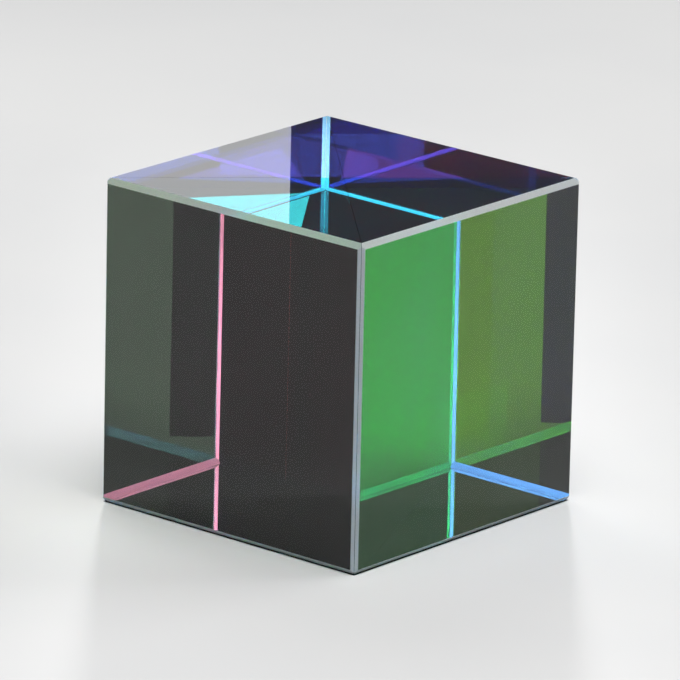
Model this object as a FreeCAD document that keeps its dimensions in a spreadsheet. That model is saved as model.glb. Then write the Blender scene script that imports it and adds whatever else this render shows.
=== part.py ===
"""Cross dichroic prism cube: four right-angle glass prisms cemented leg to leg.

Millimetres, +Z up. The origin is the middle of the bottom face. One red-reflecting coating lies on
the diagonal from the left corner to the right one, and two blue-reflecting coatings cross it, on the
diagonal from the front corner to the rear one.
"""

import FreeCAD, Part
import os

import Sketcher

doc = FreeCAD.newDocument("dichroic_prism_cube")

# Driving dimensions
DIMENSIONS = {
    "cube_side": 25.0,
    "cube_height": 25.0,
    "edge_bevel": 0.4,
    "coating_thickness": 0.01,
    "cement_thickness": 0.02,
}
sheet = doc.addObject("Spreadsheet::Sheet", "sheet")
for row, (alias, size) in enumerate(DIMENSIONS.items(), start=1):
    sheet.set(f"A{row}", alias)
    sheet.set(f"B{row}", str(size))
    sheet.setAlias(f"B{row}", alias)
doc.recompute()

# Lengths that follow from them. A joint holds one coating and one layer of cement. Each diagonal
# ends at the narrow flat that the bevel leaves along the cube's upright corner, and there the bevels
# of the top and bottom faces take a small corner off every layer.
HALF_SIDE = "(sheet.cube_side / 2)"
HALF_JOINT = "((sheet.coating_thickness + sheet.cement_thickness) / 2)"
DIAGONAL_END = "((sheet.cube_side - sheet.edge_bevel) / sqrt(2))"
CORNER_CUT_ALONG = "(sheet.edge_bevel / sqrt(2))"
CORNER_CUT_RISE = "(sheet.edge_bevel / 2)"

# How a sketch numbers the two ends of a line, its own axes and its origin
START_ID, END_ID = 1, 2
X_AXIS_ID, Y_AXIS_ID = -1, -2
ORIGIN_ID = (X_AXIS_ID, START_ID)

# Turns about +Z in degrees: from one prism to the next, and from +X to the cube's upright corners
QUARTER_TURN = 90
FRONT_CORNER_TURN, RIGHT_CORNER_TURN, REAR_CORNER_TURN = -45, 45, 135

pieces = []


def new_body(label, turn):
    """An empty body, turned about +Z. Its label becomes the file's name."""
    body = doc.addObject("PartDesign::Body", label)
    body.Label = label
    body.Placement.Rotation = FreeCAD.Rotation(FreeCAD.Vector(0, 0, 1), turn)
    pieces.append(body)
    return body


def new_sketch(body, name, role):
    """An empty sketch on the body's own origin plane of this role."""
    sketch = body.newObject("Sketcher::SketchObject", f"{body.Name}_{name}")
    plane = next(feature for feature in body.Origin.OriginFeatures if feature.Role == role)
    sketch.AttachmentSupport = [(plane, "")]
    sketch.MapMode = "FlatFace"
    return sketch


def value(expression):
    """The number that an expression on the sheet gives now."""
    return float(sheet.evalExpression(expression))


def draw_loop(sketch, corners):
    """Join the corners end to end by straight lines, and give the lines' numbers."""
    points = [FreeCAD.Vector(x, y, 0) for x, y in corners]
    lines = []
    for begin, end in zip(points, points[1:] + points[:1]):
        lines.append(sketch.addGeometry(Part.LineSegment(begin, end)))
    for line, following in zip(lines, lines[1:] + lines[:1]):
        sketch.addConstraint(Sketcher.Constraint("Coincident", line, END_ID, following, START_ID))
    return lines


def relate(sketch, *terms):
    """Add a constraint that has no size."""
    sketch.addConstraint(Sketcher.Constraint(*terms))


def measure(sketch, name, expression, *terms):
    """Add a dimension, named, and tie it to the sheet."""
    index = sketch.addConstraint(Sketcher.Constraint(*terms, value(expression)))
    sketch.renameConstraint(index, name)
    sketch.setExpression(f"Constraints.{name}", expression)


def draw_prism_plan(sketch):
    """A right angle at the cube's axis, its two legs, and the outer face with a flat at either tip."""
    outer_y = -value(HALF_SIDE)
    outer_x = value(HALF_SIDE) - value("sheet.edge_bevel")
    axis_y = -value(HALF_JOINT) * 2**0.5
    tip_x = (value(HALF_SIDE) + outer_x + axis_y) / 2
    tip_y = axis_y - tip_x
    face, right_flat, right_leg, left_leg, left_flat = draw_loop(
        sketch,
        [(-outer_x, outer_y), (outer_x, outer_y), (tip_x, tip_y), (0, axis_y), (-tip_x, tip_y)],
    )
    relate(sketch, "Symmetric", face, START_ID, face, END_ID, Y_AXIS_ID)
    relate(sketch, "Symmetric", right_flat, END_ID, left_flat, START_ID, Y_AXIS_ID)
    relate(sketch, "PointOnObject", right_leg, END_ID, Y_AXIS_ID)
    relate(sketch, "Perpendicular", right_leg, left_leg)
    relate(sketch, "Perpendicular", right_flat, right_leg)
    measure(sketch, "outer_face_from_axis", HALF_SIDE, "DistanceY", face, START_ID, *ORIGIN_ID)
    face_width = "sheet.cube_side - 2 * sheet.edge_bevel"
    measure(sketch, "outer_face_width", face_width, "DistanceX", face, START_ID, face, END_ID)
    edge_from_axis = f"{HALF_JOINT} * sqrt(2)"
    measure(sketch, "edge_from_axis", edge_from_axis, "DistanceY", right_leg, END_ID, *ORIGIN_ID)


def draw_bevel_profile(sketch):
    """The two small triangles that the bevels cut off along the outer face's top and bottom edges."""
    outer, top, bevel = -value(HALF_SIDE), value("sheet.cube_height"), value("sheet.edge_bevel")
    upper = [(outer, top), (outer, top - bevel), (outer + bevel, top)]
    lower = [(outer, 0), (outer + bevel, 0), (outer, bevel)]
    down, _, back = draw_loop(sketch, upper)
    inward, _, rise = draw_loop(sketch, lower)
    for upright in (down, rise):
        relate(sketch, "Vertical", upright)
        measure(sketch, f"bevel_height_{upright}", "sheet.edge_bevel", "Distance", upright)
    for level in (back, inward):
        relate(sketch, "Horizontal", level)
        measure(sketch, f"bevel_depth_{level}", "sheet.edge_bevel", "Distance", level)
    relate(sketch, "PointOnObject", inward, START_ID, X_AXIS_ID)
    measure(sketch, "lower_edge", HALF_SIDE, "DistanceX", inward, START_ID, *ORIGIN_ID)
    measure(sketch, "upper_edge", HALF_SIDE, "DistanceX", down, START_ID, *ORIGIN_ID)
    measure(sketch, "top_face", "sheet.cube_height", "DistanceY", *ORIGIN_ID, down, START_ID)


def add_prism(label, turn):
    """One right-angle prism, drawn with its outer face to the front and turned to its own side."""
    body = new_body(label, turn)
    plan = new_sketch(body, "plan", "XY_Plane")
    draw_prism_plan(plan)
    blank = body.newObject("PartDesign::Pad", f"{label}_blank")
    blank.Profile = plan
    blank.setExpression("Length", "sheet.cube_height")
    doc.recompute()
    profile = new_sketch(body, "bevel_profile", "YZ_Plane")
    draw_bevel_profile(profile)
    bevels = body.newObject("PartDesign::Pocket", f"{label}_bevels")
    bevels.Profile = profile
    bevels.Type = "ThroughAll"
    bevels.SideType = "Symmetric"


def draw_layer(sketch, crosses_axis):
    """A layer seen flat on, from the cube's axis or from the far corner to the near one."""
    height, end = value("sheet.cube_height"), value(DIAGONAL_END)
    shoulder, rise = end - value(CORNER_CUT_ALONG), value(CORNER_CUT_RISE)
    begin = -shoulder if crosses_axis else value(HALF_JOINT)
    near = [(begin, 0), (shoulder, 0), (end, rise)]
    near += [(end, height - rise), (shoulder, height), (begin, height)]
    far = [(-end, height - rise), (-end, rise)] if crosses_axis else []
    bottom, lower_cut, tip, upper_cut, top, *beyond = draw_loop(sketch, near + far)
    relate(sketch, "PointOnObject", bottom, END_ID, X_AXIS_ID)
    relate(sketch, "Vertical", tip)
    measure(sketch, "height", "sheet.cube_height", "DistanceY", bottom, END_ID, top, START_ID)
    measure(sketch, "reach", DIAGONAL_END, "DistanceX", *ORIGIN_ID, tip, START_ID)
    lower_in, lower_out = (lower_cut, START_ID), (lower_cut, END_ID)
    upper_out, upper_in = (upper_cut, START_ID), (upper_cut, END_ID)
    measure(sketch, "lower_cut_along", CORNER_CUT_ALONG, "DistanceX", *lower_in, *lower_out)
    measure(sketch, "lower_cut_rise", CORNER_CUT_RISE, "DistanceY", *lower_in, *lower_out)
    measure(sketch, "upper_cut_along", CORNER_CUT_ALONG, "DistanceX", *upper_in, *upper_out)
    measure(sketch, "upper_cut_rise", CORNER_CUT_RISE, "DistanceY", *upper_out, *upper_in)
    if crosses_axis:
        far_tip = beyond[1]
        relate(sketch, "Symmetric", bottom, START_ID, bottom, END_ID, Y_AXIS_ID)
        relate(sketch, "Symmetric", top, START_ID, top, END_ID, Y_AXIS_ID)
        relate(sketch, "Symmetric", tip, START_ID, far_tip, END_ID, Y_AXIS_ID)
        relate(sketch, "Symmetric", tip, END_ID, far_tip, START_ID, Y_AXIS_ID)
    else:
        inner_end = beyond[0]
        relate(sketch, "Horizontal", bottom)
        relate(sketch, "Horizontal", top)
        relate(sketch, "Vertical", inner_end)
        measure(sketch, "start", HALF_JOINT, "DistanceX", *ORIGIN_ID, inner_end, END_ID)


def add_layer(label, corner, right_side, thickness, crosses_axis=False):
    """One thin layer of a joint. Its right side, as seen from the cube's axis towards the corner, lies
    this far to the left of the diagonal.
    """
    body = new_body(label, corner)
    outline = new_sketch(body, "outline", "XZ_Plane")
    outline.setExpression("AttachmentOffset.Base.z", f"-({right_side})")
    draw_layer(outline, crosses_axis)
    layer = body.newObject("PartDesign::Pad", f"{label}_layer")
    layer.Profile = outline
    layer.setExpression("Length", thickness)
    layer.Reversed = True


# The four prisms, going round from the front face to the left one
for place, name in enumerate(("front", "right", "rear", "left")):
    add_prism(f"prism_{name}", place * QUARTER_TURN)

# Where a layer's right side is when it fills the joint from the right or up to the left
FROM_THE_RIGHT = f"(-{HALF_JOINT})"
CEMENT_ON_THE_LEFT = f"({HALF_JOINT} - sheet.cement_thickness)"
COATING_ON_THE_LEFT = f"({HALF_JOINT} - sheet.coating_thickness)"

# The blue-reflecting coatings, on the front prism's leg and in one plane with it on the left prism's,
# and the cement that holds the right prism and the rear one to them
add_layer("blue_coating_front", FRONT_CORNER_TURN, FROM_THE_RIGHT, "sheet.coating_thickness")
add_layer("cement_front", FRONT_CORNER_TURN, CEMENT_ON_THE_LEFT, "sheet.cement_thickness")
add_layer("blue_coating_rear", REAR_CORNER_TURN, COATING_ON_THE_LEFT, "sheet.coating_thickness")
add_layer("cement_rear", REAR_CORNER_TURN, FROM_THE_RIGHT, "sheet.cement_thickness")

# The red-reflecting coating, in one piece across both legs of the finished front half, and the cement
# that closes the cube
add_layer("red_coating", RIGHT_CORNER_TURN, FROM_THE_RIGHT, "sheet.coating_thickness", True)
add_layer("cement_diagonal", RIGHT_CORNER_TURN, CEMENT_ON_THE_LEFT, "sheet.cement_thickness", True)

doc.recompute()

# Nothing is written unless every object and every piece came out sound
for item in doc.Objects:
    if "Invalid" in item.State or "Error" in item.State:
        raise RuntimeError(f"{item.Label} failed: {item.State}")
for piece in pieces:
    if piece.Shape.isNull() or not piece.Shape.isValid() or len(piece.Shape.Solids) != 1:
        raise RuntimeError(f"{piece.Label} has no sound solid")

os.makedirs("parts", exist_ok=True)
for piece in pieces:
    piece.Shape.exportStep(f"parts/{piece.Label}.step")
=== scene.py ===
import math

import bpy
from mathutils import Matrix, Quaternion, Vector


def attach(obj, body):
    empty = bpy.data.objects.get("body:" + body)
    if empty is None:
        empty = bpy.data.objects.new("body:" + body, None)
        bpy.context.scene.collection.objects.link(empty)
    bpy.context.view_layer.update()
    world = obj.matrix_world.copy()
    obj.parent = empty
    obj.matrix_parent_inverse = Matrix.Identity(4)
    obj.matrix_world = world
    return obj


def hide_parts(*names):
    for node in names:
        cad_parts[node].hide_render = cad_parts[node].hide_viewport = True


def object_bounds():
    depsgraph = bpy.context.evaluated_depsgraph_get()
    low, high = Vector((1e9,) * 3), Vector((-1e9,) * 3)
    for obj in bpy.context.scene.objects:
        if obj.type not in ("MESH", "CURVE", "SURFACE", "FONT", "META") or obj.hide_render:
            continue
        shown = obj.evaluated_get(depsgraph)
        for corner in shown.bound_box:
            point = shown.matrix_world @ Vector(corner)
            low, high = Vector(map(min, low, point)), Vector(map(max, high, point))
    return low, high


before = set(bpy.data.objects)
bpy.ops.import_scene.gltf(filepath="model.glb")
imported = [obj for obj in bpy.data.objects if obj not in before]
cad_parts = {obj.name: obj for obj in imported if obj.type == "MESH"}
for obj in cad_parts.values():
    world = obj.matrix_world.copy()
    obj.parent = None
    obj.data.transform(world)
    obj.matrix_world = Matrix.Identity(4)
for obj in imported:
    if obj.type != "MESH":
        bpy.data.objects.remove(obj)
cad_low, cad_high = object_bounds()
bpy.ops.object.select_all(action="DESELECT")

# Prisms
# Four right-angle prisms of clear crown glass make up the cube. Their outer faces and their legs are
# polished, and every outer edge has a narrow bevel, ground on a fine wheel and left unpolished.
PRISM_NODES = ("prism_front", "prism_right", "prism_rear", "prism_left")
CUBE_SIDE = cad_high.x - cad_low.x
CUBE_HEIGHT = cad_high.z - cad_low.z
CUBE_CENTRE = Vector((0, 0, CUBE_HEIGHT / 2))
CROWN_INDEX = 1.5168
POLISHED_TINTS = ((0.985, 0.995, 0.990, 1), (0.970, 0.990, 0.982, 1))
STREAK_NOISE = (90, 2)
GROUND_PALE = ((0.72, 0.79, 0.82, 1), (0.93, 0.97, 1.00, 1))
# Painted glow: the sky-blue tint that the bevels show from within the glass.
GROUND_PAINTED_GLOW = ((0.22, 0.56, 0.97, 1), (0.32, 0.70, 1.00, 1))
GRIND_NOISE = (9000, 4)
GROUND_ROUGHNESS = (0.30, 0.46)
PALE_SHARE = 0.30
PAINTED_GLOW_SHARE = 0.85
NOISE_RANGE = (0.35, 0.65)

# The plane of a leg passes the cube's centre, an outer face's lies half a side away, a bevel's further.
LEG_BELOW = CUBE_SIDE * 0.05
BEVEL_ABOVE = CUBE_SIDE * 0.55


def new_material(name):
    """An empty material with its node tree's nodes and links."""
    material = bpy.data.materials.new(name)
    material.use_nodes = True
    material.node_tree.nodes.clear()
    return material, material.node_tree.nodes, material.node_tree.links


def add_node(nodes, kind, **settings):
    """A shader node of this kind, set up."""
    node = nodes.new("ShaderNode" + kind)
    for key, setting in settings.items():
        setattr(node, key, setting)
    return node


def calculate(nodes, links, operation, *terms):
    """One step of arithmetic on numbers and on other nodes' results."""
    node = add_node(nodes, "Math", operation=operation)
    for socket, term in zip(node.inputs, terms):
        if isinstance(term, (int, float)):
            socket.default_value = term
        else:
            links.new(term, socket)
    return node.outputs[0]


def grain(nodes, links, scale, detail):
    """A noise of this scale and detail, fixed to the piece, from 0 to 1."""
    place = add_node(nodes, "TexCoord")
    noise = add_node(nodes, "TexNoise")
    noise.inputs["Scale"].default_value = scale
    noise.inputs["Detail"].default_value = detail
    links.new(place.outputs["Object"], noise.inputs["Vector"])
    return noise.outputs["Fac"]


def tones(nodes, links, amount, stops):
    """A colour that follows the amount through (position, colour) stops."""
    ramp = add_node(nodes, "ValToRGB")
    links.new(amount, ramp.inputs["Fac"])
    marks = ramp.color_ramp.elements
    while len(marks) < len(stops):
        marks.new(1)
    for mark, (position, colour) in zip(marks, stops):
        mark.position = position
        mark.color = colour
    return ramp.outputs["Color"]


def mottle(nodes, links, amount, colours):
    """The first colour where the noise is low, and the second where it is high."""
    return tones(nodes, links, amount, tuple(zip(NOISE_RANGE, colours)))


def blend_shaders(nodes, links, share, first, second):
    """The first shader, with this share of the second one."""
    node = add_node(nodes, "MixShader")
    if isinstance(share, (int, float)):
        node.inputs["Fac"].default_value = share
    else:
        links.new(share, node.inputs["Fac"])
    links.new(first.outputs[0], node.inputs[1])
    links.new(second.outputs[0], node.inputs[2])
    return node


def add_shaders(nodes, links, first, second):
    """Both shaders in full."""
    node = add_node(nodes, "AddShader")
    links.new(first.outputs[0], node.inputs[0])
    links.new(second.outputs[0], node.inputs[1])
    return node


def finish_surface(nodes, links, shader):
    """Put the shader on the surface."""
    output = add_node(nodes, "OutputMaterial")
    links.new(shader.outputs[0], output.inputs["Surface"])


def plane_distance(nodes, links):
    """How far the plane of the face lies from the cube's centre."""
    place = add_node(nodes, "TexCoord")
    from_centre = add_node(nodes, "VectorMath", operation="SUBTRACT")
    from_centre.inputs[1].default_value = CUBE_CENTRE
    links.new(place.outputs["Object"], from_centre.inputs[0])
    geometry = add_node(nodes, "NewGeometry")
    along_normal = add_node(nodes, "VectorMath", operation="DOT_PRODUCT")
    links.new(from_centre.outputs["Vector"], along_normal.inputs[0])
    links.new(geometry.outputs["True Normal"], along_normal.inputs[1])
    return calculate(nodes, links, "ABSOLUTE", along_normal.outputs["Value"])


def polished_glass(nodes, links):
    """Clear glass with the faint streaks that even good glass has."""
    shader = add_node(nodes, "BsdfGlass")
    shader.inputs["IOR"].default_value = CROWN_INDEX
    shader.inputs["Roughness"].default_value = 0.0
    streaks = grain(nodes, links, *STREAK_NOISE)
    links.new(mottle(nodes, links, streaks, POLISHED_TINTS), shader.inputs["Color"])
    return shader


def ground_glass(nodes, links):
    """A ground bevel: pale from outside, and from within it shows a painted sky-blue glow that stands
    for the coloured light in the glass.
    """
    pits = grain(nodes, links, *GRIND_NOISE)
    matt = add_node(nodes, "BsdfGlass")
    matt.inputs["IOR"].default_value = CROWN_INDEX
    low, high = GROUND_ROUGHNESS
    spread = calculate(nodes, links, "MULTIPLY_ADD", pits, high - low, low)
    links.new(spread, matt.inputs["Roughness"])
    frost = add_node(nodes, "BsdfDiffuse")
    links.new(mottle(nodes, links, pits, GROUND_PALE), frost.inputs["Color"])
    # Painted light: seen from inside, the bevel passes outside light tinted sky-blue, as if lit by the
    # coloured light in the cube.
    glow = add_node(nodes, "BsdfTranslucent")
    links.new(mottle(nodes, links, pits, GROUND_PAINTED_GLOW), glow.inputs["Color"])
    outside = blend_shaders(nodes, links, PALE_SHARE, matt, frost)
    inside = blend_shaders(nodes, links, PAINTED_GLOW_SHARE, matt, glow)
    geometry = add_node(nodes, "NewGeometry")
    return blend_shaders(nodes, links, geometry.outputs["Backfacing"], outside, inside)


def prism_glass():
    """Polished faces, ground bevels, and legs that vanish in the cement."""
    material, nodes, links = new_material("crown_glass")
    distance = plane_distance(nodes, links)
    is_leg = calculate(nodes, links, "LESS_THAN", distance, LEG_BELOW)
    is_bevel = calculate(nodes, links, "GREATER_THAN", distance, BEVEL_ABOVE)
    polished, ground = polished_glass(nodes, links), ground_glass(nodes, links)
    outer = blend_shaders(nodes, links, is_bevel, polished, ground)
    clear = add_node(nodes, "BsdfTransparent")
    finish_surface(nodes, links, blend_shaders(nodes, links, is_leg, outer, clear))
    return material


def dress(node_name, material):
    """Give a carried-over node its finish."""
    mesh = bpy.data.objects[node_name].data
    mesh.materials.clear()
    mesh.materials.append(material)


crown_glass = prism_glass()
for name in PRISM_NODES:
    dress(name, crown_glass)

# Blue-reflecting coatings
# Vacuum-deposited layers that turn blue light aside and let yellow through. One lies on the front
# prism's leg and one on the left prism's, in one plane, so that they meet the red one at the axis.
EDGE_BEVEL = 0.0004
COATING_THICKNESS = 0.00001
CEMENT_THICKNESS = 0.00002
FILM_CLEARANCE = 0.000001
HALF_JOINT = (COATING_THICKNESS + CEMENT_THICKNESS) / 2
DIAGONAL_END = (CUBE_SIDE - EDGE_BEVEL) / math.sqrt(2)
FILM_THICKNESS = COATING_THICKNESS - 2 * FILM_CLEARANCE
FILM_OFFSET = COATING_THICKNESS / 2 - HALF_JOINT
CUT_TOLERANCE = 1e-8
FRONT_CORNER_TURN = math.radians(-45)
DRIFT_NOISE = (70, 1)
DRIFT_MIDDLE = 0.5
FILM_DRIFT = 0.018
COSINE_BLEND = 0.5

# Each colour is for one angle, in degrees, between the ray and the line square to the film.
BLUE_FILM_PASSED = (
    (0, (0.40, 0.45, 0.08)),
    (20.4, (0.34, 0.64, 0.01)),
    (21.2, (0.05, 0.44, 0.30)),
    (26, (0.05, 0.44, 0.30)),
    (30, (0.60, 0.60, 0.08)),
    (46, (0.75, 0.70, 0.08)),
    (49.5, (0.20, 0.03, 0.26)),
    (54, (0.20, 0.03, 0.26)),
    (66, (0.004, 0.004, 0.008)),
    (72, (0.004, 0.004, 0.008)),
    (74.5, (0.06, 0.84, 0.05)),
    (80, (0.90, 0.95, 0.97)),
)
BLUE_FILM_REFLECTED = (
    (0, (0.01, 0.01, 0.04)),
    (30, (0.01, 0.01, 0.04)),
    (46, (0.06, 0.08, 0.70)),
    (50, (0.10, 0.04, 0.30)),
    (67, (0.002, 0.001, 0.005)),
    (75, (0.002, 0.001, 0.005)),
    (82, (0.04, 0.04, 0.04)),
)


def film_plate(name, begin, end, bevelled_ends):
    """A closed plate along X in the coating's own layer, with the cube's bevels at its outer ends."""
    bpy.ops.mesh.primitive_cube_add(
        size=1,
        location=((begin + end) / 2, FILM_OFFSET, CUBE_HEIGHT / 2),
        scale=(end - begin, FILM_THICKNESS, CUBE_HEIGHT),
    )
    plate = bpy.context.object
    plate.name = plate.data.name = name
    bpy.ops.object.transform_apply(location=True, rotation=False, scale=True)
    bpy.ops.object.mode_set(mode="EDIT")
    for side in bevelled_ends:
        for rise, level in ((1, CUBE_HEIGHT), (-1, 0)):
            bpy.ops.mesh.select_all(action="SELECT")
            bpy.ops.mesh.bisect(
                plane_co=(side * DIAGONAL_END, 0, level - rise * EDGE_BEVEL / 2),
                plane_no=(side, 0, rise * math.sqrt(2)),
                use_fill=True,
                clear_outer=True,
                threshold=CUT_TOLERANCE,
            )
    bpy.ops.mesh.select_all(action="SELECT")
    bpy.ops.mesh.normals_make_consistent(inside=False)
    bpy.ops.object.mode_set(mode="OBJECT")
    return plate


def turn_plate(plate, turn):
    """Turn the plate by this matrix for good."""
    plate.matrix_world = turn
    bpy.ops.object.select_all(action="DESELECT")
    plate.select_set(True)
    bpy.context.view_layer.objects.active = plate
    bpy.ops.object.transform_apply(location=True, rotation=True, scale=True)
    plate.select_set(False)


def film_colour(nodes, links, tilt, by_angle):
    """The colour at this tilt, from (angle in degrees, colour) pairs."""
    stops = [(1 - math.cos(math.radians(angle)), (*colour, 1)) for angle, colour in by_angle]
    return tones(nodes, links, tilt, stops)


def film_finish(name, passed, reflected):
    """A mirror for some colours and a window for the rest, both changing with the angle."""
    material, nodes, links = new_material(name)
    weight = add_node(nodes, "LayerWeight")
    weight.inputs["Blend"].default_value = COSINE_BLEND
    drift = calculate(nodes, links, "SUBTRACT", grain(nodes, links, *DRIFT_NOISE), DRIFT_MIDDLE)
    tilt = calculate(nodes, links, "MULTIPLY_ADD", drift, FILM_DRIFT, weight.outputs["Facing"])
    window = add_node(nodes, "BsdfTransparent")
    links.new(film_colour(nodes, links, tilt, passed), window.inputs["Color"])
    mirror = add_node(nodes, "BsdfAnisotropic")
    mirror.inputs["Roughness"].default_value = 0.0
    links.new(film_colour(nodes, links, tilt, reflected), mirror.inputs["Color"])
    film = add_shaders(nodes, links, window, mirror)
    clear = add_node(nodes, "BsdfTransparent")
    geometry = add_node(nodes, "NewGeometry")
    both = blend_shaders(nodes, links, geometry.outputs["Backfacing"], film, clear)
    finish_surface(nodes, links, both)
    return material


def place_film(plate, node, finish):
    """Put the plate in the node's place."""
    plate.data.materials.clear()
    plate.data.materials.append(finish)
    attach(plate, "root")
    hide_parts(node)


blue_finish = film_finish("blue_reflecting_film", BLUE_FILM_PASSED, BLUE_FILM_REFLECTED)
blue_front = film_plate("blue_film_front", HALF_JOINT, DIAGONAL_END, bevelled_ends=(1,))
turn_plate(blue_front, Matrix.Rotation(FRONT_CORNER_TURN, 4, "Z"))

# The rear one is the same plate turned over about the middle line of the red coating.
blue_rear = blue_front.copy()
blue_rear.data = blue_front.data.copy()
blue_rear.name = blue_rear.data.name = "blue_film_rear"
bpy.context.scene.collection.objects.link(blue_rear)
half_turn = Matrix.Rotation(math.pi, 4, Vector((1, 1, 0)))
to_centre = Matrix.Translation(-CUBE_CENTRE)
turn_plate(blue_rear, to_centre.inverted() @ half_turn @ to_centre)

place_film(blue_front, "blue_coating_front", blue_finish)
place_film(blue_rear, "blue_coating_rear", blue_finish)

# Cement of the two halves
# Clear optical cement holds the right prism to the front one and the rear prism to the left one. It
# has nearly the glass's own index, so it doesn't show except as a trace of warm tint.
CEMENT_TINTS = ((0.996, 0.996, 0.990, 1), (0.985, 0.985, 0.965, 1))
FLOW_NOISE = (160, 2)


def cement_finish():
    """Nearly nothing, a little uneven where the cement has flowed."""
    material, nodes, links = new_material("clear_cement")
    clear = add_node(nodes, "BsdfTransparent")
    flow = grain(nodes, links, *FLOW_NOISE)
    links.new(mottle(nodes, links, flow, CEMENT_TINTS), clear.inputs["Color"])
    finish_surface(nodes, links, clear)
    return material


clear_cement = cement_finish()
for name in ("cement_front", "cement_rear"):
    dress(name, clear_cement)

# Red-reflecting coating
# One continuous layer across the long face of the finished front half, from the left upright corner
# to the right one. It turns red light aside and lets cyan through.
RIGHT_CORNER_TURN = math.radians(45)

RED_FILM_PASSED = (
    (0, (0.25, 0.45, 0.55)),
    (20.4, (0.27, 0.41, 0.66)),
    (21.2, (1.00, 0.17, 0.17)),
    (26, (1.00, 0.17, 0.17)),
    (30, (0.20, 0.60, 0.55)),
    (44, (0.06, 0.88, 0.95)),
    (54, (0.12, 0.96, 0.99)),
    (66, (0.55, 0.80, 0.95)),
    (78, (0.93, 0.95, 0.97)),
)
RED_FILM_REFLECTED = (
    (0, (0.03, 0.015, 0.01)),
    (30, (0.03, 0.015, 0.01)),
    (44, (0.80, 0.06, 0.03)),
    (49, (0.12, 0.02, 0.01)),
    (60, (0.10, 0.02, 0.01)),
    (75, (0.05, 0.04, 0.04)),
    (82, (0.04, 0.04, 0.04)),
)

red_finish = film_finish("red_reflecting_film", RED_FILM_PASSED, RED_FILM_REFLECTED)
red_film = film_plate("red_film", -DIAGONAL_END, DIAGONAL_END, bevelled_ends=(1, -1))
turn_plate(red_film, Matrix.Rotation(RIGHT_CORNER_TURN, 4, "Z"))
place_film(red_film, "red_coating", red_finish)

# Closing cement
# The same cement, in one sheet along the red coating, joins the front half to the rear one.
# It is squeezed out thin and wiped off flush with the outside.
dress("cement_diagonal", clear_cement)

# Floor
# A plain pale table top, dead matt. Straight under the cube a near-black painted shadow gives the glass
# its depth, but for a painted pool of light inside the left face that shows as a bright wedge in the
# top.
FLOOR_SIZE = 3
FLOOR_GAP = 0.00002
FLOOR_TONES = ((0.560, 0.562, 0.565, 1), (0.580, 0.580, 0.578, 1))
FLOOR_NOISE = (25, 3)
PAINTED_SHADOW_TONE = (0.02, 0.02, 0.02, 1)
PAINTED_SHADOW_REACH = CUBE_SIDE / 2 * 0.985

# The patch is a painted pool of light, a pale cyan tint with its own emission. Above half strength
# Blender counts the patch as a lamp, and only then do the bevels glow in full.
PAINTED_LIGHT_POOL_TONE = (0.55, 0.90, 1.00, 1)
PAINTED_LIGHT_POOL_GLOW = 0.55
PATCH_REACH = 0.0120
PATCH_RIGHT = -0.00665
PATCH_FRONT = 0.0028
PATCH_SLANT = 0.75
PATCH_SLANT_END = -0.0044

bpy.ops.mesh.primitive_plane_add(size=FLOOR_SIZE, location=(0, 0, -FLOOR_GAP))
floor = bpy.context.object
floor.name = "floor"
floor_finish, nodes, links = new_material("pale_floor")
place = add_node(nodes, "TexCoord")
split = add_node(nodes, "SeparateXYZ")
links.new(place.outputs["Object"], split.inputs[0])
floor_x, floor_y = split.outputs["X"], split.outputs["Y"]
across = calculate(nodes, links, "ABSOLUTE", floor_x)
along = calculate(nodes, links, "ABSOLUTE", floor_y)
reach = calculate(nodes, links, "MAXIMUM", across, along)
slant = calculate(nodes, links, "MULTIPLY_ADD", floor_y, PATCH_SLANT, floor_x)
is_open = calculate(nodes, links, "GREATER_THAN", reach, PAINTED_SHADOW_REACH)
is_painted_light_pool = calculate(nodes, links, "LESS_THAN", reach, PATCH_REACH)
for test, amount, limit in (
    ("LESS_THAN", floor_x, PATCH_RIGHT),
    ("GREATER_THAN", floor_y, PATCH_FRONT),
    ("LESS_THAN", slant, PATCH_SLANT_END),
):
    answer = calculate(nodes, links, test, amount, limit)
    is_painted_light_pool = calculate(nodes, links, "MULTIPLY", is_painted_light_pool, answer)
pale = add_node(nodes, "BsdfDiffuse")
speckle = grain(nodes, links, *FLOOR_NOISE)
links.new(mottle(nodes, links, speckle, FLOOR_TONES), pale.inputs["Color"])
# Painted shadow: the floor straight under the cube is near black.
dark = add_node(nodes, "BsdfDiffuse")
dark.inputs["Color"].default_value = PAINTED_SHADOW_TONE
# Painted pool of light: pale cyan colour plus an emission glow in the wedge under the cube's left side.
painted_pool_base = add_node(nodes, "BsdfDiffuse")
painted_pool_base.inputs["Color"].default_value = PAINTED_LIGHT_POOL_TONE
light = add_node(nodes, "Emission")
light.inputs["Color"].default_value = PAINTED_LIGHT_POOL_TONE
light.inputs["Strength"].default_value = PAINTED_LIGHT_POOL_GLOW
patch = add_shaders(nodes, links, painted_pool_base, light)
under = blend_shaders(nodes, links, is_painted_light_pool, dark, patch)
finish_surface(nodes, links, blend_shaders(nodes, links, is_open, under, pale))
floor.data.materials.append(floor_finish)

# Lamps
# Softboxes above, behind and on the right give the plain light. The top mirrors a card behind it as
# a pale veil, and two smaller cards light its rear quarter through the glass. A narrow beam from
# behind makes the ground bevels glow.
BEAM_SPREAD = math.radians(9)
BEAM_DIP = 4
WORLD_TONE = (0.5, 0.5, 0.5, 1)
WORLD_STRENGTH = 0.2

# Azimuths: the camera's, the one across from it, and the camera's as the rear face mirrors it.
CAMERA_AZIMUTH = 40.4
BEHIND = CAMERA_AZIMUTH + 180
MIRRORED_IN_REAR = 180 - CAMERA_AZIMUTH


def bearing(azimuth, elevation=0):
    """The way from the cube to a place round it. Azimuth 0 is the front and 90 the right."""
    turn, lift = math.radians(azimuth), math.radians(elevation)
    flat = math.cos(lift)
    return Vector((math.sin(turn) * flat, -math.cos(turn) * flat, math.sin(lift)))


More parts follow.
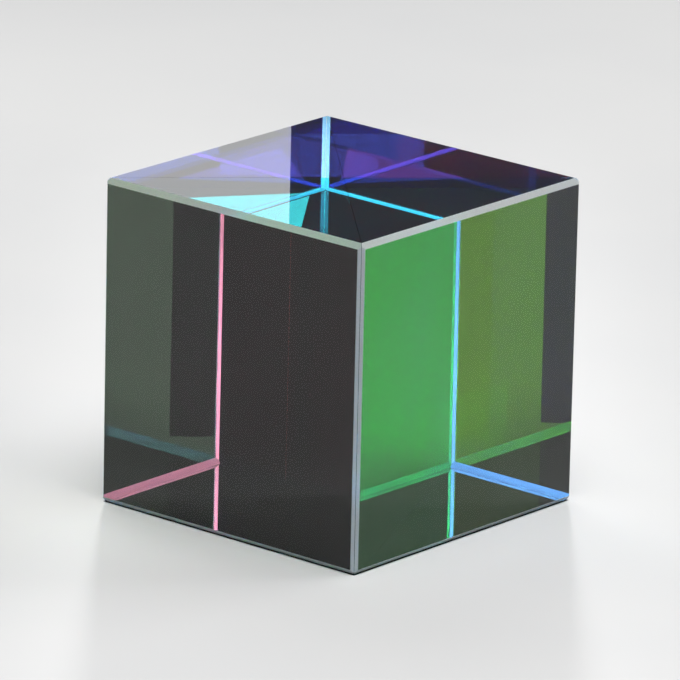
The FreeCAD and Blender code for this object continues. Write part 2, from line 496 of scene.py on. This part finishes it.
def rightward(azimuth):
    """The way to the right for someone who looks at the cube from this azimuth."""
    turn = math.radians(azimuth)
    return Vector((math.cos(turn), math.sin(turn), 0))


def add_lamp(name, place, outward, width, height, watts):
    """A white area lamp that shines against the outward way."""
    data = bpy.data.lights.new(name, "AREA")
    data.shape = "RECTANGLE"
    data.size = width
    data.size_y = height
    data.energy = watts
    lamp = bpy.data.objects.new(name, data)
    lamp.location = place
    lamp.rotation_mode = "QUATERNION"
    lamp.rotation_quaternion = outward.to_track_quat("Z", "Y")
    bpy.context.scene.collection.objects.link(lamp)
    return lamp


def softbox(name, azimuth, elevation, distance, width, height, watts):
    """A lamp on a stand, aimed at the middle of the cube."""
    outward = bearing(azimuth, elevation)
    return add_lamp(name, CUBE_CENTRE + outward * distance, outward, width, height, watts)


def card(name, azimuth, distance, to_right, above_floor, width, height, watts):
    """A small upright lit card, out of the camera's sight."""
    place = bearing(azimuth) * distance + rightward(azimuth) * to_right
    place.z = above_floor
    lamp = add_lamp(name, place, bearing(azimuth), width, height, watts)
    lamp.visible_camera = False
    return lamp


softbox("overhead", azimuth=60, elevation=74, distance=0.7, width=0.45, height=0.45, watts=5.0)
softbox("key", azimuth=235, elevation=45, distance=0.7, width=0.4, height=0.3, watts=1.4)
softbox("fill", azimuth=156, elevation=38, distance=0.7, width=0.4, height=0.4, watts=1.4)
softbox("front_lamp", azimuth=47, elevation=6, distance=0.6, width=0.12, height=0.06, watts=0.8)
card(
    "rear_card", azimuth=BEHIND, distance=0.15, to_right=0.08, above_floor=0.085,
    width=0.15, height=0.05, watts=0.036,
)
front_card = card(
    "front_card", azimuth=CAMERA_AZIMUTH, distance=0.56, to_right=0.004, above_floor=0.176,
    width=0.024, height=0.012, watts=0.0055,
)
right_card = card(
    "right_card", azimuth=MIRRORED_IN_REAR, distance=0.09, to_right=-0.0155, above_floor=0.058,
    width=0.019, height=0.030, watts=0.012,
)
beam = card(
    "beam", azimuth=BEHIND, distance=0.2, to_right=0, above_floor=0.02,
    width=0.044, height=0.015, watts=0.013,
)
beam.data.spread = BEAM_SPREAD
beam.rotation_quaternion = bearing(BEHIND, BEAM_DIP).to_track_quat("Z", "Y")

# Seen in the glass itself, these would be hard white shapes.
beam.visible_transmission = False
for lamp in (front_card, right_card, beam):
    lamp.visible_glossy = False

world = bpy.data.worlds.new("studio")
world.use_nodes = True
backdrop = world.node_tree.nodes["Background"]
backdrop.inputs["Color"].default_value = WORLD_TONE
backdrop.inputs["Strength"].default_value = WORLD_STRENGTH
bpy.context.scene.world = world

# Black flags
# Two small black boards close to the hidden faces, put in as painted shade. They are seen only through
# the glass, where they stand for the dark room round the cube and make the dark upright parts in its
# sides.
MIRRORED_IN_SIDE = 360 - CAMERA_AZIMUTH
PAINTED_SHADE_FLAG_TONE = (0.01, 0.01, 0.01, 1)

flag_finish, nodes, links = new_material("painted_shade_flag")
black = add_node(nodes, "BsdfDiffuse")
black.inputs["Color"].default_value = PAINTED_SHADE_FLAG_TONE
finish_surface(nodes, links, black)


def flag(name, azimuth, distance, begin, end):
    """An upright board as tall as the cube, between two places to the right of its azimuth."""
    middle = bearing(azimuth) * distance + rightward(azimuth) * (begin + end) / 2
    bpy.ops.mesh.primitive_plane_add(size=1)
    board = bpy.context.object
    board.name = name
    board.scale = (end - begin, CUBE_HEIGHT, 1)
    board.location = middle + CUBE_CENTRE
    board.rotation_mode = "QUATERNION"
    board.rotation_quaternion = bearing(azimuth).to_track_quat("Z", "Y")
    board.data.materials.append(flag_finish)
    # Painted shade: the boards are hidden from the camera, from reflections and bounced light, and cast
    # no shadow.
    board.visible_camera = False
    board.visible_diffuse = False
    board.visible_glossy = False
    board.visible_shadow = False


flag("right_flag", azimuth=MIRRORED_IN_REAR, distance=0.0075, begin=0.0138, end=0.0190)
flag("left_flag", azimuth=MIRRORED_IN_SIDE, distance=0.0100, begin=-0.0108, end=-0.0083)

# Camera
# A long lens some way off, as for any small object. It looks down a little on the top face, with the
# upright edge between two outer faces in front.
CAMERA_ELEVATION = 17.0
CAMERA_ROLL = math.radians(1.3)
CAMERA_DISTANCE = 0.585
CAMERA_LENS = 418
CAMERA_FILM = 36

towards_camera = bearing(CAMERA_AZIMUTH, CAMERA_ELEVATION)
lens = bpy.data.cameras.new("camera")
lens.sensor_width = CAMERA_FILM
lens.lens = CAMERA_LENS
camera = bpy.data.objects.new("camera", lens)
bpy.context.scene.collection.objects.link(camera)
camera.location = CUBE_CENTRE + towards_camera * CAMERA_DISTANCE
camera.rotation_mode = "QUATERNION"
roll = Quaternion((0, 0, 1), CAMERA_ROLL)
camera.rotation_quaternion = (-towards_camera).to_track_quat("-Z", "Y") @ roll
bpy.context.scene.camera = camera

# Light paths
# A ray may cross the joints and turn inside the cube many times before it leaves the glass, so it is
# followed further than for most objects.
cycles = bpy.context.scene.cycles
cycles.max_bounces = 32
cycles.transmission_bounces = 24
cycles.glossy_bounces = 24
cycles.transparent_max_bounces = 64
bpy.context.scene.view_settings.view_transform = "Standard"
